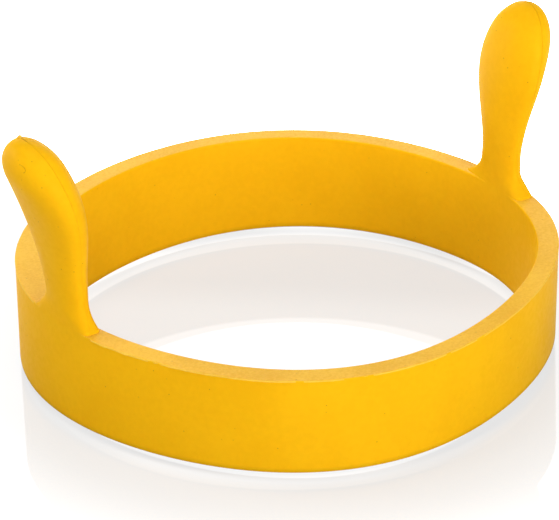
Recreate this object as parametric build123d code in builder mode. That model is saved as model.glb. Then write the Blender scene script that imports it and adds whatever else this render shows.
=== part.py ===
from build123d import *
from math import copysign, cos, pi, radians, sin, sqrt, tan
import os

# Egg ring, moulded in one piece from silicone rubber: a low round band that holds the egg in the
# pan, with two upright ear-shaped handles growing out of its rim.
# X runs through both handles, Y across them and Z up. The origin is on the pan, at the ring's
# centre. Lengths are in millimetres and angles in degrees.

# Band
rim_diameter = 100.0       # outside of the band, across its top edge
rim_wall = 4.0             # thickness of the wall at its top edge
band_height = 18.9
outside_draft = 1.4        # the outside closes in a little towards the pan
inside_draft = 3.4         # the inside closes in more, so the wall is thickest at the pan

# Handles
handle_rise = 36.0         # centre line of a handle, from the rim up to its tip
handle_reach = 6.8         # the tip stands this far outside the middle of the wall
head_width = 18.4
head_thickness = 8.1
neck_width = 11.0
foot_length = 17.1         # along the rim, from toe to toe
foot_rise = 5.7            # the toes have run into the neck this far above the rim
straight_rise = 14.0       # by this height a section no longer bends with the wall

# Where a handle changes, as shares of the way along its centre line
neck_share = 0.18
widest_share = 0.62
thickest_share = 0.79

# Centre line of a handle, as shares of its reach and of its rise: it leaves the rim upright, bows
# a little inwards and then leans out
centre_line_shares = ((0, 0), (0, 0.18), (-0.15, 0.64), (0.48, 0.80), (1, 1))

# Squareness of a section: 2 is an ellipse, and more is boxier
head_squareness = 2.2
foot_outer_squareness = 4.0
foot_inner_squareness = 2.7

section_points = 24        # around a section
stem_sections = 9          # from the rim to the widest place
tip_sections = 8           # from there to the tip

wall_middle = (rim_diameter - rim_wall) / 2


def ease(share):
    """A smooth step from 0 to 1."""
    share = min(max(share, 0), 1)
    return share * share * (3 - 2 * share)


def closing(way, start):
    """A quarter of an ellipse: 1 up to the start, and 0 at the tip."""
    share = min(max((way - start) / (1 - start), 0), 1)
    return sqrt(1 - share * share)


def rounded(value, squareness):
    """A cosine or sine, pushed outwards for a boxier section."""
    return copysign(abs(value) ** (2 / squareness), value)


def section_outline(way, rise):
    """Points round one section of a handle, along the wall and outwards from the centre line."""
    foot_part = max(1 - rise / foot_rise, 0)
    head_part = ease((way - neck_share) / (widest_share - neck_share))
    width = neck_width + (head_width - neck_width) * head_part
    width = width + (foot_length - neck_width) * foot_part ** 2
    width = width * closing(way, widest_share)
    thickness = rim_wall + (head_thickness - rim_wall) * ease(way / thickest_share)
    thickness = thickness * closing(way, thickest_share)
    bend = 1 - ease(rise / straight_rise)
    points = []
    for step in range(section_points):
        angle = 2 * pi * step / section_points
        side = foot_outer_squareness if sin(angle) > 0 else foot_inner_squareness
        squareness = head_squareness + (side - head_squareness) * foot_part
        along = width / 2 * rounded(cos(angle), squareness)
        outwards = thickness / 2 * rounded(sin(angle), squareness)
        points.append((along, outwards - bend * along ** 2 / (2 * wall_middle)))
    return points


# Band: one wall section, turned round the centre
with BuildPart() as ring_band:
    with BuildSketch(Plane.XZ):
        with BuildLine():
            rim_outside = rim_diameter / 2
            rim_inside = rim_outside - rim_wall
            pan_outside = rim_outside - band_height * tan(radians(outside_draft))
            pan_inside = rim_inside - band_height * tan(radians(inside_draft))
            Polyline(
                (pan_inside, 0),
                (pan_outside, 0),
                (rim_outside, band_height),
                (rim_inside, band_height),
                close=True,
            )
        make_face()
    revolve(axis=Axis.Z)

ring_band.part.label = "ring_band"

# Handle on the +X side: sections square to a curved centre line, closed at the tip
with BuildLine(Plane.XZ) as centre_line:
    Bezier(
        *[
            (wall_middle + handle_reach * reach, band_height + handle_rise * rise)
            for reach, rise in centre_line_shares
        ]
    )

# Every section gets its points at the same even steps, so the skin over them has no extra seams
section_steps = [step / section_points for step in range(section_points + 1)]

stem_ways = [widest_share * step / stem_sections for step in range(stem_sections)]
tip_angles = [pi / 2 * step / tip_sections for step in range(tip_sections)]
tip_ways = [widest_share + (1 - widest_share) * sin(angle) for angle in tip_angles]

with BuildPart() as right_handle:
    for way in stem_ways + tip_ways:
        centre = centre_line.line @ way
        section_plane = Plane(origin=centre, x_dir=(0, -1, 0), z_dir=centre_line.line % way)
        with BuildSketch(section_plane):
            with BuildLine():
                outline = section_outline(way, centre.Z - band_height)
                add(Edge.make_spline(outline, periodic=True, parameters=section_steps))
            make_face()
    loft(sections=[*right_handle.pending_faces, Vertex(centre_line.line @ 1)])

right_handle.part.label = "right_handle"

# Handle on the -X side: the same one, across the ring
with BuildPart() as left_handle:
    mirror(right_handle.part, about=Plane.YZ)

left_handle.part.label = "left_handle"

os.makedirs("parts", exist_ok=True)
export_step(ring_band.part, "parts/ring_band.step")
export_step(left_handle.part, "parts/left_handle.step")
export_step(right_handle.part, "parts/right_handle.step")
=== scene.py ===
from math import acos, copysign, cos, pi, radians, sin, sqrt, tan

import bpy
from mathutils import Matrix, Vector


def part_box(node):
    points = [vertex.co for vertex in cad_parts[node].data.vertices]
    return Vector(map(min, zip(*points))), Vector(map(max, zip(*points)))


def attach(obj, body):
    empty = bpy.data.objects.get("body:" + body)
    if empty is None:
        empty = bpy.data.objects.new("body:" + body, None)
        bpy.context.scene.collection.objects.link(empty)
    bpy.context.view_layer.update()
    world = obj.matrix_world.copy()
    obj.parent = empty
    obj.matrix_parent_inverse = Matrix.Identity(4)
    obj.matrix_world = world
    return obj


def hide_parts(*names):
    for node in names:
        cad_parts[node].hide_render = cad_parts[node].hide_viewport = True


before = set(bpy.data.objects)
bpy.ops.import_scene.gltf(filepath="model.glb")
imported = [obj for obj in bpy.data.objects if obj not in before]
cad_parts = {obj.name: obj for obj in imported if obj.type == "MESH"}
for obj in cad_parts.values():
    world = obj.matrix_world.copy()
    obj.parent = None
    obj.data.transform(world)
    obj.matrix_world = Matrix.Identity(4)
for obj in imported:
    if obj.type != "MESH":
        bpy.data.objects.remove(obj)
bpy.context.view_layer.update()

mm = 0.001


# Camera: a long lens, as far off as someone sitting at the worktop. It looks down over the left
# handle, and stands nearly level.
camera_place = (-0.3257, -0.5157, 0.3363)
camera_heading = radians(-32.134)   # from +Y, round Z
camera_tip = radians(-27.674)       # below the horizon
camera_roll = radians(-1.365)


def placed(name, data):
    """Puts a new object into the scene."""
    item = bpy.data.objects.new(name, data)
    bpy.context.scene.collection.objects.link(item)
    return item


camera = placed("camera", bpy.data.cameras.new("camera"))
camera.data.sensor_width = 36
camera.data.lens = 237.93
camera.matrix_world = (
    Matrix.Translation(camera_place)
    @ Matrix.Rotation(camera_heading, 4, "Z")
    @ Matrix.Rotation(pi / 2 + camera_tip, 4, "X")
    @ Matrix.Rotation(camera_roll, 4, "Z")
)
bpy.context.scene.camera = camera


# Band: the low wall that stands on the pan and holds the egg, moulded in yellow silicone rubber.
# Its top closes the mould, so it is grainier than the polished walls, and paler, partly for that
# finish and partly as painted sheen of the light from above; a thin lip of rubber has crept out
# between the two halves along its outer edge.
rim_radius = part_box("ring_band")[1].x
rim_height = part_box("ring_band")[1].z
rim_wall = 4.0 * mm
outside_draft = radians(1.4)
inside_draft = radians(3.4)
pan_edge_radius = 0.30 * mm
rim_edge_radius = 0.35 * mm
lip_reach = 0.33 * mm
lip_thickness = 0.24 * mm
wall_middle = rim_radius - rim_wall / 2
pan_radius = rim_radius - rim_height * tan(outside_draft)
pan_opening = rim_radius - rim_wall - rim_height * tan(inside_draft)

# Soft rubber never stands quite round, nor quite upright: waves round the ring, as how many there
# are, how high they are and where one of them peaks
wall_waves = (
    (2, 0.50 * mm, radians(-6.4)),
    (3, 0.38 * mm, radians(18.8)),
    (4, 0.68 * mm, radians(-22.7)),
    (5, 0.145 * mm, radians(-25.4)),
)
rim_waves = (
    (1, 0.43 * mm, radians(47.1)),
    (2, 0.60 * mm, radians(89.7)),
    (3, 0.13 * mm, radians(-17)),
)
inside_waves = (
    (0, -0.05 * mm, 0.0),
    (1, 0.26 * mm, radians(-150.6)),
    (3, 0.185 * mm, radians(-4.7)),
)

# Beside each handle the rubber is thicker on the inside: where, how far each way, and how much
thick_spots = {
    "Left": (radians(158), radians(32), 1.35 * mm),
    "Right": (radians(-20), radians(25), 0.28 * mm),
}


def ease(share):
    """A smooth step from 0 to 1."""
    share = min(max(share, 0), 1)
    return share * share * (3 - 2 * share)


def wave(azimuth, waves):
    """How far waves round the ring carry a point out or in."""
    return sum(size * cos(count * (azimuth - peak)) for count, size, peak in waves)


def thickening(azimuth):
    """How much further in than a true circle the wall's inside stands."""
    spots = sum(
        size * ease(1 - acos(cos(azimuth - middle)) / reach)
        for middle, reach, size in thick_spots.values()
    )
    return wave(azimuth, inside_waves) + spots


def add(tree, kind, inputs=None, **settings):
    """Adds a node. Its settings come first, then its inputs: a socket is linked, a value is set."""
    node = tree.nodes.new(kind)
    for name, value in settings.items():
        setattr(node, name, value)
    for name, value in (inputs or {}).items():
        if isinstance(value, bpy.types.NodeSocket):
            tree.links.new(value, node.inputs[name])
        else:
            node.inputs[name].default_value = value
    return node


def calc(tree, operation, *values):
    """One step of arithmetic between sockets and numbers."""
    return add(tree, "ShaderNodeMath", dict(enumerate(values)), operation=operation).outputs[0]


def scaled(tree, value, low, high, to_low=0.0, to_high=1.0):
    """Carries a value from one range to another, with a smooth step between them."""
    inputs = {
        "Value": value,
        "From Min": low,
        "From Max": high,
        "To Min": to_low,
        "To Max": to_high,
    }
    return add(tree, "ShaderNodeMapRange", inputs, interpolation_type="SMOOTHSTEP").outputs[0]


def noise(tree, place, scale, detail=2.0, seed=None):
    """Clouds of noise, by how many there are to a metre. A seed shifts them to another pattern."""
    inputs = {"Vector": place, "Scale": scale, "Detail": detail}
    if seed is None:
        return add(tree, "ShaderNodeTexNoise", inputs).outputs[0]
    inputs["W"] = seed
    return add(tree, "ShaderNodeTexNoise", inputs, noise_dimensions="4D").outputs[0]


def mixed(tree, share, first, second):
    """Mixes two colours."""
    inputs = {0: share, 6: first, 7: second}
    return add(tree, "ShaderNodeMix", inputs, data_type="RGBA").outputs[2]


def named_input(tree, name, kind="NodeSocketFloat"):
    """A named size of the tree, as a socket to link from."""
    tree.interface.new_socket(name, in_out="INPUT", socket_type=kind)
    return add(tree, "NodeGroupInput").outputs[name]


def between(tree, share, low, high):
    """A straight line from one size to another."""
    run = calc(tree, "MULTIPLY", share, calc(tree, "SUBTRACT", high, low))
    return calc(tree, "ADD", low, run)


def coated(tree, geometry, finishes):
    """Realizes instances and sets materials, each on its selection and over the one before."""
    geometry = add(tree, "GeometryNodeRealizeInstances", {"Geometry": geometry}).outputs[0]
    for chosen, finish in finishes:
        inputs = {"Geometry": geometry, "Selection": chosen, "Material": finish}
        geometry = add(tree, "GeometryNodeSetMaterial", inputs).outputs[0]
    return geometry


def waves_round(tree, azimuth, label, waves):
    """Adds up waves round the ring, each with its height and its peak as named inputs."""
    total = 0.0
    for count, _, _ in waves:
        size = named_input(tree, f"{label} Swell {count}")
        peak = named_input(tree, f"{label} Peak {count}")
        turned = calc(tree, "MULTIPLY", calc(tree, "SUBTRACT", azimuth, peak), float(count))
        total = calc(tree, "ADD", total, calc(tree, "MULTIPLY", calc(tree, "COSINE", turned), size))
    return total


def built(name, start, tree, values):
    """Runs a tree on a starting mesh and keeps the result as a plain mesh, with nothing live."""
    piece = placed(name, start)
    modifier = piece.modifiers.new(tree.name, "NODES")
    modifier.node_group = tree
    for item in tree.interface.items_tree:
        if item.in_out == "INPUT" and item.name in values:
            modifier[item.identifier] = values[item.name]
    seen = piece.evaluated_get(bpy.context.evaluated_depsgraph_get())
    finished = bpy.data.meshes.new_from_object(seen)
    piece.modifiers.remove(modifier)
    piece.data = finished
    finished.name = name
    return piece


def wall_section():
    """Points round the wall's section, from its middle outwards and hanging down, because the
    sweep turns a section over."""
    lip_root = lip_thickness * 1.4
    corners = (
        (pan_opening, 0, pan_edge_radius),
        (rim_radius - rim_wall, rim_height, rim_edge_radius),
        (rim_radius + lip_reach, rim_height, lip_thickness / 2),
        (rim_radius + lip_reach, rim_height - lip_thickness, lip_thickness / 3),
        (rim_radius, rim_height - lip_root, lip_thickness / 4),
        (pan_radius, 0, pan_edge_radius),
    )
    round_steps = 5
    run_step = 1.6 * mm
    points = []
    for place, (radius, height, rounding) in enumerate(corners):
        corner = Vector((radius - wall_middle, -height, 0))
        before, after = corners[place - 1], corners[(place + 1) % len(corners)]
        back = Vector((before[0] - wall_middle, -before[1], 0)) - corner
        ahead = Vector((after[0] - wall_middle, -after[1], 0)) - corner
        start = corner + back.normalized() * rounding
        end = corner + ahead.normalized() * rounding
        for step in range(round_steps + 1):
            share = step / round_steps
            points.append(start.lerp(corner, share).lerp(corner.lerp(end, share), share))
        run = ahead.length - rounding - after[2]
        margin = min(after[2] + rounding, run / 3)
        cuts = max(int(run / run_step), 1)
        if run > run_step:
            for cut in range(cuts + 1):
                along = margin + (run - 2 * margin) * cut / cuts
                points.append(end + ahead.normalized() * along)
    return points


def band_tree():
    """Sweeps the wall's section round, squeezes it out of round, and lets the lip come and go."""
    tree = bpy.data.node_groups.new("swept_band", "GeometryNodeTree")
    section = named_input(tree, "Section", "NodeSocketGeometry")
    middle = named_input(tree, "Wall Middle")
    steps = named_input(tree, "Steps Round", "NodeSocketInt")
    height = named_input(tree, "Rim Height")
    foot = named_input(tree, "Pan Radius")
    rim = named_input(tree, "Rim Radius")
    feet_middle = named_input(tree, "Feet Middle")
    feet_reach = named_input(tree, "Feet Reach")
    lip_turn = named_input(tree, "Lip Turn")
    lip_spread = named_input(tree, "Lip Spread")
    opening = named_input(tree, "Pan Opening")
    rim_inside = named_input(tree, "Rim Opening")
    seed = named_input(tree, "Seed")
    nick_seed = named_input(tree, "Nick Seed")
    wall_finish = named_input(tree, "Wall Finish", "NodeSocketMaterial")
    rim_finish = named_input(tree, "Rim Finish", "NodeSocketMaterial")
    lip_finish = named_input(tree, "Lip Finish", "NodeSocketMaterial")
    tree.interface.new_socket("Band", in_out="OUTPUT", socket_type="NodeSocketGeometry")

    profile = add(tree, "GeometryNodeMeshToCurve", {"Mesh": section}).outputs[0]
    circle = add(tree, "GeometryNodeCurvePrimitiveCircle", {"Resolution": steps, "Radius": middle})
    swept = add(
        tree, "GeometryNodeCurveToMesh", {"Curve": circle.outputs[0], "Profile Curve": profile}
    ).outputs[0]

    place = add(tree, "GeometryNodeInputPosition").outputs[0]
    x, y, z = add(tree, "ShaderNodeSeparateXYZ", {0: place}).outputs
    across = calc(tree, "ADD", calc(tree, "MULTIPLY", x, x), calc(tree, "MULTIPLY", y, y))
    radius = calc(tree, "SQRT", across)
    azimuth = calc(tree, "ARCTAN2", y, x)
    rise = calc(tree, "DIVIDE", z, height)
    outer = between(tree, rise, foot, rim)
    inner = between(tree, rise, opening, rim_inside)

    # The lip is what stands outside the wall's line. It is thickest on one stretch, ragged
    # everywhere, and gone where the handles stand.
    coarse_scale, fine_scale, nick_scale = 220.0, 1300.0, 130.0
    coarse_least, fine_least, nick_least, stretch_least = 0.3, 0.6, 0.3, 0.25
    full_share, clear_share = 0.7, 1.12
    lip = calc(tree, "MAXIMUM", calc(tree, "SUBTRACT", radius, outer), 0.0)
    coarse = noise(tree, place, coarse_scale, seed=seed)
    coarse = scaled(tree, coarse, 0.3, 0.65, coarse_least, 1.0)
    fine = noise(tree, place, fine_scale, seed=seed)
    fine = scaled(tree, fine, 0.25, 0.7, fine_least, 1.0)
    nicks = noise(tree, place, nick_scale, seed=nick_seed)
    nicks = scaled(tree, nicks, 0.56, 0.58, 1.0, nick_least)
    ragged = calc(tree, "MULTIPLY", calc(tree, "MULTIPLY", coarse, fine), nicks)
    off_middle = calc(tree, "ABSOLUTE", calc(tree, "SUBTRACT", azimuth, lip_turn))
    full_spread = calc(tree, "MULTIPLY", lip_spread, full_share)
    stretch = scaled(tree, off_middle, lip_spread, full_spread, stretch_least, 1.0)
    from_feet = calc(tree, "ABSOLUTE", calc(tree, "SUBTRACT", y, feet_middle))
    clear_reach = calc(tree, "MULTIPLY", feet_reach, clear_share)
    clear = scaled(tree, from_feet, feet_reach, clear_reach)
    lip_share = calc(tree, "MULTIPLY", calc(tree, "MULTIPLY", ragged, stretch), clear)
    trimmed = calc(
        tree, "ADD", calc(tree, "MINIMUM", radius, outer), calc(tree, "MULTIPLY", lip, lip_share)
    )

    # The whole wall stands out of round, its rim a little more, and its inside a little again
    swell = calc(
        tree,
        "ADD",
        waves_round(tree, azimuth, "Wall", wall_waves),
        calc(tree, "MULTIPLY", rise, waves_round(tree, azimuth, "Rim", rim_waves)),
    )
    thicker = waves_round(tree, azimuth, "Inside", inside_waves)
    for label in thick_spots:
        middle_turn = named_input(tree, f"{label} Spot Turn")
        reach = named_input(tree, f"{label} Spot Reach")
        size = named_input(tree, f"{label} Spot Size")
        turned = calc(tree, "SUBTRACT", azimuth, middle_turn)
        off_spot = calc(tree, "ARCCOSINE", calc(tree, "COSINE", turned))
        thicker = calc(tree, "ADD", thicker, scaled(tree, off_spot, reach, 0.0, 0.0, size))
    inside = calc(tree, "MULTIPLY", scaled(tree, radius, outer, inner), thicker)
    swollen = calc(tree, "SUBTRACT", calc(tree, "ADD", trimmed, swell), inside)
    moved = add(
        tree,
        "ShaderNodeCombineXYZ",
        {
            0: calc(tree, "MULTIPLY", calc(tree, "COSINE", azimuth), swollen),
            1: calc(tree, "MULTIPLY", calc(tree, "SINE", azimuth), swollen),
            2: z,
        },
    ).outputs[0]
    shaped = add(tree, "GeometryNodeSetPosition", {"Geometry": swept, "Position": moved}).outputs[0]
    smooth = add(tree, "GeometryNodeSetShadeSmooth", {"Geometry": shaped}).outputs[0]

    # What faces up is the rim, and what stands outside the swollen wall is the lip
    rim_level, least_lip = 0.8, 0.03 * mm
    normal = add(tree, "GeometryNodeInputNormal").outputs[0]
    facing_up = add(tree, "ShaderNodeSeparateXYZ", {0: normal}).outputs[2]
    on_top = calc(tree, "GREATER_THAN", facing_up, rim_level)
    overhang = calc(tree, "SUBTRACT", radius, calc(tree, "ADD", outer, swell))
    on_lip = calc(tree, "GREATER_THAN", overhang, least_lip)
    finishes = ((True, wall_finish), (on_top, rim_finish), (on_lip, lip_finish))
    add(tree, "NodeGroupOutput", {"Band": coated(tree, smooth, finishes)})
    return tree


wide_clouding = 90.0       # pigment clouds to a metre, and each finish has finer ones as well
roughness_swing = 0.05
speck_scale = 700.0        # places for dust specks to a metre
speck_strength = 0.5
bare_band, bare_handles = 0.75, 0.2   # shares of those places that stay without a speck
# Painted shade along the foot of the wall: its colour, how high it reaches and how strong it is
dusty_rise = 10.0 * mm     # this far above the rim the handles have all their dust
painted_shade_colour = (0.45, 0.235, 0.003)
painted_shade_height = 1.3 * mm
painted_shade_strength = 0.5


def empty_tree(owner):
    """Switches the nodes of a material or world on, and clears them."""
    owner.use_nodes = True
    owner.node_tree.nodes.clear()
    return owner.node_tree


def silicone(
    name, colour, shade, speck_colour, roughness, gloss, grain_size, grain_depth, clouding=900.0
):
    """Moulded silicone rubber: clouded through with pigment, with dust specks and a fine grain."""
    material = bpy.data.materials.new(name)
    tree = empty_tree(material)
    place = add(tree, "ShaderNodeTexCoord").outputs["Object"]

    # Pigment clouds, a centimetre and a millimetre across
    wide = noise(tree, place, wide_clouding)
    close = noise(tree, place, clouding, 3.0)
    clouds = calc(tree, "MULTIPLY", calc(tree, "ADD", wide, close), 0.5)
    pigment = mixed(tree, scaled(tree, clouds, 0.35, 0.65), (*colour, 1), (*shade, 1))

    # Dust specks: some cells of a scatter, and only near their middles
    scatter = add(tree, "ShaderNodeTexVoronoi", {"Vector": place, "Scale": speck_scale})
    chosen = add(tree, "ShaderNodeSeparateColor", {0: scatter.outputs["Color"]}).outputs[0]
    height = add(tree, "ShaderNodeSeparateXYZ", {0: place}).outputs[2]
    dusty_height = rim_height + dusty_rise
    bare = scaled(tree, height, rim_height, dusty_height, bare_band, bare_handles)
    speck = calc(
        tree,
        "MULTIPLY",
        scaled(tree, scatter.outputs["Distance"], 0.12, 0.05),
        scaled(tree, chosen, bare, 1.0),
    )
    speck_share = calc(tree, "MULTIPLY", speck, speck_strength)
    specked = mixed(tree, speck_share, pigment, (*speck_colour, 1))

    # Painted shade: the lowest millimetre is darker, where the wall meets the pan
    foot_shade = scaled(tree, height, painted_shade_height, 0.0, 0.0, painted_shade_strength)
    foot_shaded = mixed(tree, foot_shade, specked, (*painted_shade_colour, 1))

    rough_low, rough_high = roughness - roughness_swing, roughness + roughness_swing
    grain = noise(tree, place, 1 / grain_size, 3.0)
    bump = add(
        tree, "ShaderNodeBump", {"Height": grain, "Distance": grain_depth, "Strength": 1.0}
    ).outputs[0]
    surface = add(
        tree,
        "ShaderNodeBsdfPrincipled",
        {
            "Base Color": foot_shaded,
            "Roughness": scaled(tree, close, 0.3, 0.7, rough_low, rough_high),
            "Specular IOR Level": gloss,
            "Specular Tint": (1.0, 0.8, 0.45, 1),
            "Subsurface Weight": 0.15,
            "Subsurface Radius": (1.0, 0.45, 0.1),
            "Subsurface Scale": 1.5 * mm,
            "Normal": bump,
        },
    ).outputs[0]
    add(tree, "ShaderNodeOutputMaterial", {"Surface": surface})
    return material


polished_silicone = silicone(
    "polished_silicone",
    colour=(0.90, 0.470, 0.006),
    shade=(0.86, 0.440, 0.005),
    speck_colour=(0.20, 0.07, 0.01),
    roughness=0.42,
    gloss=0.015,
    grain_size=0.35 * mm,
    grain_depth=0.006 * mm,
)
# The rim is paler than the walls, partly as painted sheen of the light from above
rim_silicone = silicone(
    "rim_silicone",
    colour=(0.93, 0.53, 0.03),
    shade=(0.83, 0.44, 0.02),
    speck_colour=(0.35, 0.18, 0.03),
    roughness=0.48,
    gloss=0.14,
    grain_size=0.3 * mm,
    grain_depth=0.03 * mm,
    clouding=2200.0,
)
lip_silicone = silicone(
    "lip_silicone",
    colour=(0.92, 0.57, 0.07),
    shade=(0.86, 0.51, 0.055),
    speck_colour=(0.35, 0.18, 0.03),
    roughness=0.5,
    gloss=0.06,
    grain_size=0.3 * mm,
    grain_depth=0.01 * mm,
)

section_points = wall_section()
section = bpy.data.meshes.new("wall_section")
section.from_pydata(
    section_points,
    [(place, (place + 1) % len(section_points)) for place in range(len(section_points))],
    [],
)
band_sizes = {
    "Wall Middle": wall_middle,
    "Steps Round": 900,
    "Rim Height": rim_height,
    "Pan Radius": pan_radius,
    "Rim Radius": rim_radius,
    "Pan Opening": pan_opening,
    "Rim Opening": rim_radius - rim_wall,
    "Feet Middle": -0.6 * mm,
    "Feet Reach": 8.8 * mm,
    "Lip Turn": radians(-147),
    "Lip Spread": radians(30),
    "Seed": 4.0,
    "Nick Seed": 11.0,
    "Wall Finish": polished_silicone,
    "Rim Finish": rim_silicone,
    "Lip Finish": lip_silicone,
}
for label, waves in (("Wall", wall_waves), ("Rim", rim_waves), ("Inside", inside_waves)):
    for count, size, peak in waves:
        band_sizes[f"{label} Swell {count}"] = size
        band_sizes[f"{label} Peak {count}"] = peak
for label, (turn, reach, size) in thick_spots.items():
    band_sizes[f"{label} Spot Turn"] = turn
    band_sizes[f"{label} Spot Reach"] = reach
    band_sizes[f"{label} Spot Size"] = size
band = built("moulded_band", section, band_tree(), band_sizes)
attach(band, "root")
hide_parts("ring_band")


# Handles: one ear-shaped grip on each side, moulded in one with the band. A flared foot as thick as
# the wall runs up into a slim neck and a broad, flattish head that leans outwards for the fingers.
handle_rise = 36.0 * mm
handle_reach = 6.8 * mm
head_width = 18.4 * mm
head_thickness = 8.1 * mm
neck_width = 11.0 * mm
straight_rise = 14.0 * mm
sway_rise = 12.0 * mm      # by this height a handle stands as far out and aside as it will
toe_radius = 0.7 * mm      # the front toe is rounded under, and the back one runs out onto the rim
root_depth = 1.2 * mm      # each handle is carried down into the wall
root_proud = 0.015 * mm    # where it stands a hair proud of the wall's faces
neck_share, widest_share, thickest_share = 0.18, 0.62, 0.79
own_share = 0.25           # from here up a handle has all of its own breadth and thickness
centre_line_shares = ((0, 0), (0, 0.18), (-0.15, 0.64), (0.48, 0.80), (1, 1))
head_squareness, foot_outer_squareness = 2.2, 9.0

# No two handles stand alike: where each is, how it tips outwards and sideways, how far it bows out,
# how tall, broad and thick it is, and how its foot flares
handle_details = {
    "left": {
        "azimuth": radians(180.37),
        "front": 1,
        "tilt": radians(0.74),
        "sway": radians(-1.72),
        "bow": -0.08 * mm,
        "tall": 1.008,
        "broad": 1.059,
        "thick": 1.13,
        "foot_rise": 5.44 * mm,
        "foot_length": 16.8 * mm,
        "front_squareness": 3.4,
        "back_squareness": 3.4,
    },
    "right": {
        "azimuth": radians(-1.01),
        "front": -1,
        "tilt": radians(-0.58),
        "sway": radians(-1.33),
        "bow": 0.17 * mm,
        "tall": 1.009,
        "broad": 0.933,
        "thick": 0.972,
        "foot_rise": 4.30 * mm,
        "foot_length": 17.4 * mm,
        "front_squareness": 4.6,
        "back_squareness": 2.4,
    },
}


def closing(way, start):
    """A quarter of an ellipse: 1 up to the start, and 0 at the tip."""
    share = min(max((way - start) / (1 - start), 0), 1)
    return sqrt(1 - share * share)


def centre_line(way):
    """A point on a handle's centre line, outwards and up from the middle of the rim, and the way
    that the line runs there."""
    points = [Vector((out * handle_reach, up * handle_rise)) for out, up in centre_line_shares]
    while len(points) > 2:
        points = [first.lerp(second, way) for first, second in zip(points, points[1:])]
    return points[0].lerp(points[1], way), (points[1] - points[0]).normalized()


def handle_point(way, angle, handle):
    """A point of the handle's skin: along the wall, outwards and up from the middle of the rim."""
    centre, ahead = centre_line(way)
    foot_part = max(1 - centre.y / handle["foot_rise"], 0)
    grown = ease(way / own_share)
    head_part = ease((way - neck_share) / (widest_share - neck_share))
    width = neck_width + (head_width - neck_width) * head_part
    width = width * closing(way, widest_share) * (1 + (handle["broad"] - 1) * grown)
    width = width + (handle["foot_length"] - neck_width) * foot_part ** 2
    toe = max(1 - centre.y / toe_radius, 0)
    front = 1 if cos(angle) * handle["front"] > 0 else -1
    width = width - front * toe_radius * (1 - sqrt(1 - toe * toe))
    thickness = rim_wall + (head_thickness - rim_wall) * ease(way / thickest_share)
    thickness = thickness * closing(way, thickest_share) * (1 + (handle["thick"] - 1) * grown)
    inner = handle["front_squareness"] if front > 0 else handle["back_squareness"]
    side = foot_outer_squareness if sin(angle) > 0 else inner
    squareness = head_squareness + (side - head_squareness) * foot_part ** 3
    edge = (abs(cos(angle)) ** squareness + abs(sin(angle)) ** squareness) ** (-1 / squareness)
    along = width / 2 * edge * cos(angle)
    out = thickness / 2 * edge * sin(angle)
    return Vector((along, centre.x + ahead.y * out, centre.y - ahead.x * out))


def root_point(depth, angle, handle):
    """A point of the same skin, carried down into the wall."""
    along, out, _ = handle_point(0, angle, handle)
    draft = outside_draft if out > 0 else inside_draft
    return Vector((along, out - depth * draft + copysign(root_proud, out), -depth))


def on_rim(point, handle):
    """Takes a point of a handle to its place on the rim, bent as that handle is."""
    along, out, up = point
    up = up * handle["tall"]
    middle = handle["azimuth"]
    inner_part = min(max(0.5 - out / rim_wall, 0), 1)
    sway = ease(up / sway_rise)
    out = out + (up * sin(handle["tilt"]) + handle["bow"]) * sway
    along = along + up * sin(handle["sway"]) * sway
    radius = wall_middle + out
    swing = along / radius
    rise = min(1 + up / rim_height, 1)
    wrapped = ease(1 - up / straight_rise)
    curved = radius + wave(middle + swing, wall_waves) + rise * wave(middle + swing, rim_waves)
    curved = curved - inner_part * thickening(middle + swing)
    straight = radius + wave(middle, wall_waves) + wave(middle, rim_waves)
    forward = curved * cos(swing) * wrapped + straight * (1 - wrapped)
    sideways = curved * sin(swing) * wrapped + along * (1 - wrapped)
    return Vector(
        (
            forward * cos(middle) - sideways * sin(middle),
            forward * sin(middle) + sideways * cos(middle),
            rim_height + up,
        )
    )


def handle_mesh(name, handle):
    """The skin of one handle, from its root in the wall to a closed tip."""
    points_round = 120
    root_steps, stem_steps, tip_steps = 4, 70, 44
    angles = [2 * pi * step / points_round for step in range(points_round)]
    depths = [root_depth * (1 - step / root_steps) for step in range(root_steps)]
    ways = [widest_share * step / stem_steps for step in range(stem_steps)]
    tip_turns = [pi / 2 * step / tip_steps for step in range(tip_steps)]
    ways += [widest_share + (1 - widest_share) * sin(turn) for turn in tip_turns]
    points = [root_point(depth, angle, handle) for depth in depths for angle in angles]
    points += [handle_point(way, angle, handle) for way in ways for angle in angles]
    last = len(points) - points_round
    faces = []
    for row in range(0, last, points_round):
        for step in range(points_round):
            first, beside = row + step, row + (step + 1) % points_round
            faces.append((beside, first, first + points_round, beside + points_round))
    top = len(points)
    tip, _ = centre_line(1)
    points.append(Vector((0, tip.x, tip.y)))
    points.append(Vector((0, 0, -root_depth)))
    for step in range(points_round):
        beside = (step + 1) % points_round
        faces.append((last + beside, last + step, top))
        faces.append((step, beside, top + 1))
    mesh = bpy.data.meshes.new(name)
    mesh.from_pydata([on_rim(point, handle) for point in points], [], faces)
    mesh.shade_smooth()
    for edge in mesh.edges:
        if max(edge.vertices) < points_round:
            edge.use_edge_sharp = True
    mesh.materials.append(polished_silicone)
    return mesh


for side, handle in handle_details.items():
    name = f"moulded_{side}_handle"
    grip = placed(name, handle_mesh(name, handle))
    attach(grip, "root")
    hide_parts(f"{side}_handle")


# Mould lines: the halves of the mould met round the edge of each handle and over its top. They left
# a fine ragged ridge of rubber there, with a nub at the top, where the rubber ran out last.
path_start = 0.03          # as a share of the way up the centre line
path_steps = 90            # up each edge
top_search = (0.998, 0.7)  # the lines go over the top somewhere between these shares


def facing_out(way, angle, handle):
    """How squarely the skin of a handle faces away from the middle of the ring."""
    hair = 0.0005
    here = on_rim(handle_point(way, angle, handle), handle)
    upwards = on_rim(handle_point(way + hair, angle, handle), handle) - here
    onwards = on_rim(handle_point(way, angle + hair, handle), handle) - here
    outwards = Vector((cos(handle["azimuth"]), sin(handle["azimuth"]), 0))
    return upwards.cross(onwards).normalized().dot(outwards)


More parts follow.
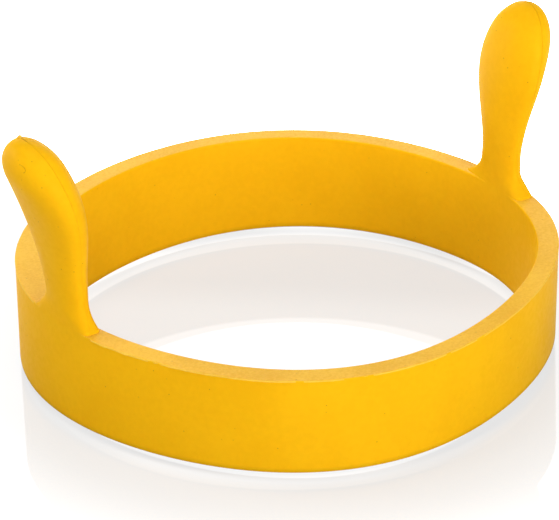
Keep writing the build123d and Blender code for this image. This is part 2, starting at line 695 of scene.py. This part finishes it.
def turning_point(facing, out_end, in_end):
    """Halves a range until it closes on the place where the skin turns from out to in."""
    halvings = 24
    for _ in range(halvings):
        middle = (out_end + in_end) / 2
        if facing(middle) > 0:
            out_end = middle
        else:
            in_end = middle
    return middle


def mould_path(handle):
    """Points up one edge of a handle, over its top and down the other edge."""
    top = turning_point(lambda way: facing_out(way, -pi / 2, handle), *top_search)
    turns = [pi / 2 * step / path_steps for step in range(path_steps)]
    ways = [path_start + (top - path_start) * sin(turn) for turn in turns]
    edges = []
    for in_end in (-pi / 2, 3 * pi / 2):
        angles = [
            turning_point(lambda angle: facing_out(way, angle, handle), pi / 2, in_end)
            for way in ways
        ]
        places = zip(ways, angles)
        edges.append([on_rim(handle_point(*place, handle), handle) for place in places])
    return edges[0] + [on_rim(handle_point(top, -pi / 2, handle), handle)] + edges[1][::-1]


def distance(tree, first, second):
    """How far apart two points are."""
    inputs = {0: first, 1: second}
    return add(tree, "ShaderNodeVectorMath", inputs, operation="DISTANCE").outputs["Value"]


def ridge_tree():
    """Sweeps a fine ridge along a path: ragged, fading downwards, swelling to a nub, and closed at
    its ends."""
    tree = bpy.data.node_groups.new("mould_ridge", "GeometryNodeTree")
    path = named_input(tree, "Path", "NodeSocketGeometry")
    radius = named_input(tree, "Ridge Radius")
    raggedness = named_input(tree, "Raggedness")
    nub_radius = named_input(tree, "Nub Radius")
    nub_reach = named_input(tree, "Nub Reach")
    nub_place = named_input(tree, "Nub Place", "NodeSocketVector")
    fade_low = named_input(tree, "Fade Low")
    fade_high = named_input(tree, "Fade High")
    fade_share = named_input(tree, "Fade Share")
    seed = named_input(tree, "Seed")
    finish = named_input(tree, "Finish", "NodeSocketMaterial")
    crease = named_input(tree, "Crease Finish", "NodeSocketMaterial")
    nub_finish = named_input(tree, "Nub Finish", "NodeSocketMaterial")
    crease_reach = named_input(tree, "Crease Reach")
    tree.interface.new_socket("Ridge", in_out="OUTPUT", socket_type="NodeSocketGeometry")
    place = add(tree, "GeometryNodeInputPosition").outputs[0]
    unevenness = noise(tree, place, 500.0, seed=seed)
    rough = calc(tree, "MULTIPLY", calc(tree, "SUBTRACT", unevenness, 0.5), raggedness)
    height = add(tree, "ShaderNodeSeparateXYZ", {0: place}).outputs[2]
    grown = scaled(tree, height, fade_low, fade_high, fade_share, 1.0)
    thickness = calc(tree, "MULTIPLY", radius, calc(tree, "ADD", rough, 1.0))
    thickness = calc(tree, "MULTIPLY", thickness, grown)
    off = distance(tree, place, nub_place)
    swelling = add(
        tree,
        "ShaderNodeMapRange",
        {"Value": off, "From Min": nub_reach, "From Max": 0.0, "To Min": 0.0, "To Max": nub_radius},
        interpolation_type="SMOOTHERSTEP",
    ).outputs[0]
    line = add(tree, "GeometryNodeMeshToCurve", {"Mesh": path}).outputs[0]
    disc = add(tree, "GeometryNodeCurvePrimitiveCircle", {"Resolution": 8, "Radius": 1.0})
    ridge = add(
        tree,
        "GeometryNodeCurveToMesh",
        {
            "Curve": line,
            "Profile Curve": disc.outputs[0],
            "Scale": calc(tree, "ADD", thickness, swelling),
            "Fill Caps": True,
        },
    ).outputs[0]
    ridge = add(tree, "GeometryNodeSetShadeSmooth", {"Geometry": ridge}).outputs[0]
    # Painted shade: the ridge is a little darker than the skin, and darker still by the nub as a
    # painted crease shadow
    near = calc(tree, "LESS_THAN", off, crease_reach)
    on_nub = calc(tree, "LESS_THAN", off, nub_reach)
    finishes = ((True, finish), (near, crease), (on_nub, nub_finish))
    add(tree, "NodeGroupOutput", {"Ridge": coated(tree, ridge, finishes)})
    return tree


# Darker silicones as painted shade: a dark one for the crease shadow by the nub, which is also the
# hair mark's colour, and a slightly darker one along the ridge
crease_shadow_and_mark_silicone = silicone(
    "crease_shadow_and_mark_silicone",
    colour=(0.56, 0.26, 0.003),
    shade=(0.45, 0.20, 0.003),
    speck_colour=(0.20, 0.07, 0.01),
    roughness=0.5,
    gloss=0.03,
    grain_size=0.3 * mm,
    grain_depth=0.006 * mm,
)
ridge_painted_shade_silicone = silicone(
    "ridge_painted_shade_silicone",
    colour=(0.82, 0.41, 0.003),
    shade=(0.74, 0.36, 0.003),
    speck_colour=(0.20, 0.07, 0.01),
    roughness=0.5,
    gloss=0.03,
    grain_size=0.3 * mm,
    grain_depth=0.006 * mm,
)
mould_ridge = ridge_tree()

# How thick each ridge is, where its nub is as a step along the path, how big the nub is, and how
# far the painted shadow of the crease beside it runs. The right one has no nub.
ridge_details = (
    ("left", 0.075 * mm, 100, 0.42 * mm, 3.1 * mm),
    ("right", 0.07 * mm, 102, 0.0, 0.0),
)
for seed, (side, ridge_radius, nub_step, nub_radius, crease_reach) in enumerate(ridge_details):
    points = mould_path(handle_details[side])
    path = bpy.data.meshes.new(f"{side}_path")
    path.from_pydata(points, [(step, step + 1) for step in range(len(points) - 1)], [])
    ridge_sizes = {
        "Ridge Radius": ridge_radius,
        "Raggedness": 2.0,
        "Nub Radius": nub_radius,
        "Nub Reach": 0.8 * mm,
        "Nub Place": points[nub_step],
        "Fade Low": rim_height + 14 * mm,
        "Fade High": rim_height + handle_rise,
        "Fade Share": 0.3,
        "Seed": float(seed),
        "Finish": ridge_painted_shade_silicone,
        "Crease Finish": crease_shadow_and_mark_silicone,
        "Crease Reach": crease_reach,
        "Nub Finish": lip_silicone if nub_radius else ridge_painted_shade_silicone,
    }
    ridge = built(f"{side}_mould_line", path, mould_ridge, ridge_sizes)
    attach(ridge, "root")


# Curved mark: a hair caught in the mould left a fine dark bow in the rubber, high on the outer face
# of the left handle
mark_way, mark_way_radius = 0.94, 0.016    # along the centre line, as a share of it
mark_angle, mark_angle_radius = 55, 11     # round it, in degrees
mark_start, mark_step, mark_steps = -80, 10, 17    # round the bow, in degrees
marked = handle_details["left"]
mark_points = []
for step in range(mark_steps):
    turn = radians(mark_start + mark_step * step)
    way = mark_way - mark_way_radius * sin(turn)
    angle = radians(mark_angle - mark_angle_radius * cos(turn))
    mark_points.append(on_rim(handle_point(way, angle, marked), marked))
path = bpy.data.meshes.new("mark_path")
path.from_pydata(mark_points, [(step, step + 1) for step in range(mark_steps - 1)], [])
mark_sizes = {
    "Ridge Radius": 0.045 * mm,
    "Raggedness": 2.5,
    "Nub Radius": 0.0,
    "Nub Reach": 0.1 * mm,
    "Nub Place": mark_points[mark_steps // 2],
    "Fade Share": 1.0,
    "Seed": 7.0,
    "Finish": crease_shadow_and_mark_silicone,
    "Crease Finish": crease_shadow_and_mark_silicone,
    "Crease Reach": 0.1 * mm,
    "Nub Finish": crease_shadow_and_mark_silicone,
}
mark = built("hair_mark", path, mould_ridge, mark_sizes)
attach(mark, "root")


# Floor: a white sheet a little below the ring's foot, as if under a clear one, so it mirrors the
# ring faintly from a little way down. Its glow is painted: painted shadow round the ring, a painted
# glow behind it that stands in for the lamps there, and a painted reflection of the ring's foot as
# a bright strip along it.
sheet_depth = 1.95 * mm
floor_half = 1.5
view_x, view_y = 0.643, 0.766              # the way that the camera looks across the floor
# The middles and radii below place painted light, shade and reflection on the floor
glow_middle = (2.4 * mm, 2.8 * mm)         # the floor's glow changes round the ring's foot
glow_radius = 46.8 * mm
mirror_middle = (-1.5 * mm, -3.7 * mm)     # of the ring's foot, as the clear sheet mirrors it
bright_middle = (-18.9 * mm, -30.0 * mm)   # of a bright patch inside the ring, and of one within it
bright_radii = (46.5 * mm, 38.5 * mm)
bright_edge = 0.6 * mm                     # either way from each radius

# How brightly the white sheet glows, in painted light and shade. 1 shows as white.
glow_inside = (0.62, 0.68)                 # at the back and at the front
glow_outside = (0.655, 0.97)               # beside the ring and far off
painted_back_glow_top = 3.0
bright_lifts = (0.10, 0.06)
shade_inside = 0.10                        # taken off along the back
strip_inside_lift = (0.07, 0.13)
strip_outside_lift = (0.045, 0.11)
strip_ends_share = 0.4                     # of its brightness is left at its ends
strip_colour = (1.0, 0.98, 0.96)
# The painted glow also lights the ring, as though the floor were a lamp
light_inside = 0.46                        # as it lights the ring, which is less than it shows
light_outside = (0.10, 0.52)


def looked_at_by(tree):
    """1 for a ray from the camera, or by way of a mirror or glass, and 0 for one that carries
    light."""
    seen = add(tree, "ShaderNodeLightPath").outputs
    mirrored = calc(tree, "ADD", seen["Is Glossy Ray"], seen["Is Transmission Ray"])
    return calc(tree, "MINIMUM", calc(tree, "ADD", seen["Is Camera Ray"], mirrored), 1.0)


floor_mesh = bpy.data.meshes.new("floor")
floor_mesh.from_pydata(
    [(x * floor_half, y * floor_half, -sheet_depth) for x in (-1, 1) for y in (-1, 1)],
    [],
    [(0, 2, 3, 1)],
)
floor = placed("floor", floor_mesh)
white_floor_painted_light = bpy.data.materials.new("white_floor_painted_light")
tree = empty_tree(white_floor_painted_light)
place = add(tree, "ShaderNodeTexCoord").outputs["Object"]
x, y, _ = add(tree, "ShaderNodeSeparateXYZ", {0: place}).outputs
behind = calc(tree, "ADD", calc(tree, "MULTIPLY", x, view_x), calc(tree, "MULTIPLY", y, view_y))
aside = calc(tree, "SUBTRACT", calc(tree, "MULTIPLY", x, view_y), calc(tree, "MULTIPLY", y, view_x))
away = distance(tree, place, (*glow_middle, -sheet_depth))
patch = distance(tree, place, (*bright_middle, -sheet_depth))
mirrored = distance(tree, place, (*mirror_middle, -sheet_depth))
inside = calc(tree, "LESS_THAN", away, glow_radius)

# Each range below runs back along the view (behind), across it (aside), or out from a middle (away,
# patch, mirrored). Inside the ring: a painted bright patch, the painted reflection strip along the
# wall, and painted shade at the back.
beneath = scaled(tree, behind, 26 * mm, 10 * mm, *glow_inside)
for radius, lift in zip(bright_radii, bright_lifts):
    edge = scaled(tree, patch, radius + bright_edge, radius - bright_edge, 0.0, lift)
    beneath = calc(tree, "ADD", beneath, edge)
strip_inside = calc(
    tree,
    "MULTIPLY",
    scaled(tree, mirrored, pan_opening + 0.7 * mm, pan_opening + 1.3 * mm),
    scaled(tree, behind, 45 * mm, 28 * mm, *strip_inside_lift),
)
strip_start = calc(
    tree,
    "MAXIMUM",
    scaled(tree, away, 43.8 * mm, 41.6 * mm),
    scaled(tree, behind, 44 * mm, 34 * mm),
)
strip_inside = calc(tree, "MULTIPLY", strip_inside, strip_start)
beneath = calc(tree, "ADD", beneath, strip_inside)
shaded = calc(
    tree,
    "MULTIPLY",
    scaled(tree, away, 42.0 * mm, 44.5 * mm, 0.0, shade_inside),
    scaled(tree, behind, 30 * mm, 40 * mm),
)
beneath = calc(tree, "SUBTRACT", beneath, shaded)

# Outside it: painted shadow, darkest beside the ring, and the painted reflection strip in front
around = scaled(tree, away, 55 * mm, 90 * mm, *glow_outside)
strip_outside = calc(
    tree,
    "MULTIPLY",
    scaled(tree, mirrored, pan_radius - 0.9 * mm, pan_radius - 1.5 * mm),
    scaled(tree, mirrored, 49.0 * mm, 44.5 * mm, *strip_outside_lift),
)
strip_ends = calc(
    tree,
    "MULTIPLY",
    scaled(tree, calc(tree, "ABSOLUTE", aside), 18 * mm, 36 * mm, 1.0, strip_ends_share),
    scaled(tree, away, 50.5 * mm, 52.2 * mm),
)
strip_outside = calc(tree, "MULTIPLY", strip_outside, strip_ends)
around = calc(tree, "ADD", around, strip_outside)

# A painted glow on the floor behind the ring stands in for the lamps there: it lights the ring and
# shows, but isn't in the ring's gloss
painted_back_glow = scaled(tree, behind, 45 * mm, 75 * mm, 0.0, painted_back_glow_top)
glossy = add(tree, "ShaderNodeLightPath").outputs["Is Glossy Ray"]
painted_back_glow = calc(tree, "MULTIPLY", painted_back_glow, calc(tree, "SUBTRACT", 1.0, glossy))
shown = between(tree, inside, around, beneath)
light_around = scaled(tree, away, 55 * mm, 105 * mm, *light_outside)
cast = between(tree, inside, light_around, light_inside)
glow = calc(tree, "ADD", painted_back_glow, between(tree, looked_at_by(tree), cast, shown))
strip = between(tree, inside, strip_outside, strip_inside)
strip_share = scaled(tree, strip, 0.0, 0.06)
sheet = add(
    tree,
    "ShaderNodeBsdfPrincipled",
    {
        "Base Color": (0.2, 0.2, 0.2, 1),
        "Roughness": 0.02,
        "IOR": 1.5,
        "Specular IOR Level": 0.2,
        "Emission Color": mixed(tree, strip_share, (1, 1, 1, 1), (*strip_colour, 1)),
        "Emission Strength": glow,
    },
).outputs[0]
add(tree, "ShaderNodeOutputMaterial", {"Surface": sheet})
floor_mesh.materials.append(white_floor_painted_light)

# Painted reflection: a glowing band, no lamp, just under the ring's foot, which the floor mirrors
# as a bright strip there
foot_steps = 180
foot_depth = 0.05 * mm
foot_margin = 0.6 * mm     # in from both edges of the ring's foot
foot_points = []
for step in range(foot_steps):
    turn = 2 * pi * step / foot_steps
    for radius in (pan_opening + foot_margin, pan_radius - foot_margin):
        radius = radius + wave(turn, wall_waves)
        foot_points.append((radius * cos(turn), radius * sin(turn), -foot_depth))
foot_mesh = bpy.data.meshes.new("bright_foot")
foot_mesh.from_pydata(
    foot_points,
    [],
    [
        tuple((2 * step + corner) % (2 * foot_steps) for corner in (0, 2, 3, 1))
        for step in range(foot_steps)
    ],
)
bright_foot = placed("bright_foot", foot_mesh)
foot_glow_painted_reflection = bpy.data.materials.new("foot_glow_painted_reflection")
tree = empty_tree(foot_glow_painted_reflection)
glow = add(tree, "ShaderNodeEmission", {"Color": (1, 1, 1, 1), "Strength": 0.45}).outputs[0]
add(tree, "ShaderNodeOutputMaterial", {"Surface": glow})
foot_mesh.materials.append(foot_glow_painted_reflection)


# Light: a low softbox to the right of the camera, one overhead, and two behind the ring. The room
# itself is nearly dark, and the camera sees white beyond the floor.
world = bpy.data.worlds.new("studio")
bpy.context.scene.world = world
tree = empty_tree(world)
room = add(tree, "ShaderNodeBackground", {"Color": (1, 1, 1, 1), "Strength": 0.02}).outputs[0]
white = add(tree, "ShaderNodeBackground", {"Color": (1, 1, 1, 1), "Strength": 1.0}).outputs[0]
shown = add(tree, "ShaderNodeMixShader", {0: looked_at_by(tree), 1: room, 2: white}).outputs[0]
add(tree, "ShaderNodeOutputWorld", {"Surface": shown})


def softbox(name, azimuth, elevation, far, width, height, power):
    """A flat lamp that faces the middle of the ring: its place in degrees, its sides in metres
    and its power in watts."""
    azimuth, elevation = radians(azimuth), radians(elevation)
    lamp = bpy.data.lights.new(name, "AREA")
    lamp.shape = "RECTANGLE"
    lamp.size, lamp.size_y = width, height
    lamp.energy = power
    away = Vector(
        (cos(azimuth) * cos(elevation), sin(azimuth) * cos(elevation), sin(elevation))
    )
    holder = placed(name, lamp)
    holder.location = away * far
    holder.rotation_euler = away.to_track_quat("Z", "Y").to_euler()


softbox("key_softbox", 261, 10, 1.2, 0.60, 0.60, 14.3)
softbox("top_softbox", 190, 79, 1.2, 0.80, 0.80, 9.1)
softbox("back_softbox", 58, 27, 0.5, 0.46, 0.34, 0.95)
softbox("back_left_softbox", 128, 17, 0.6, 0.30, 0.30, 1.75)

bpy.context.scene.view_settings.view_transform = "Standard"
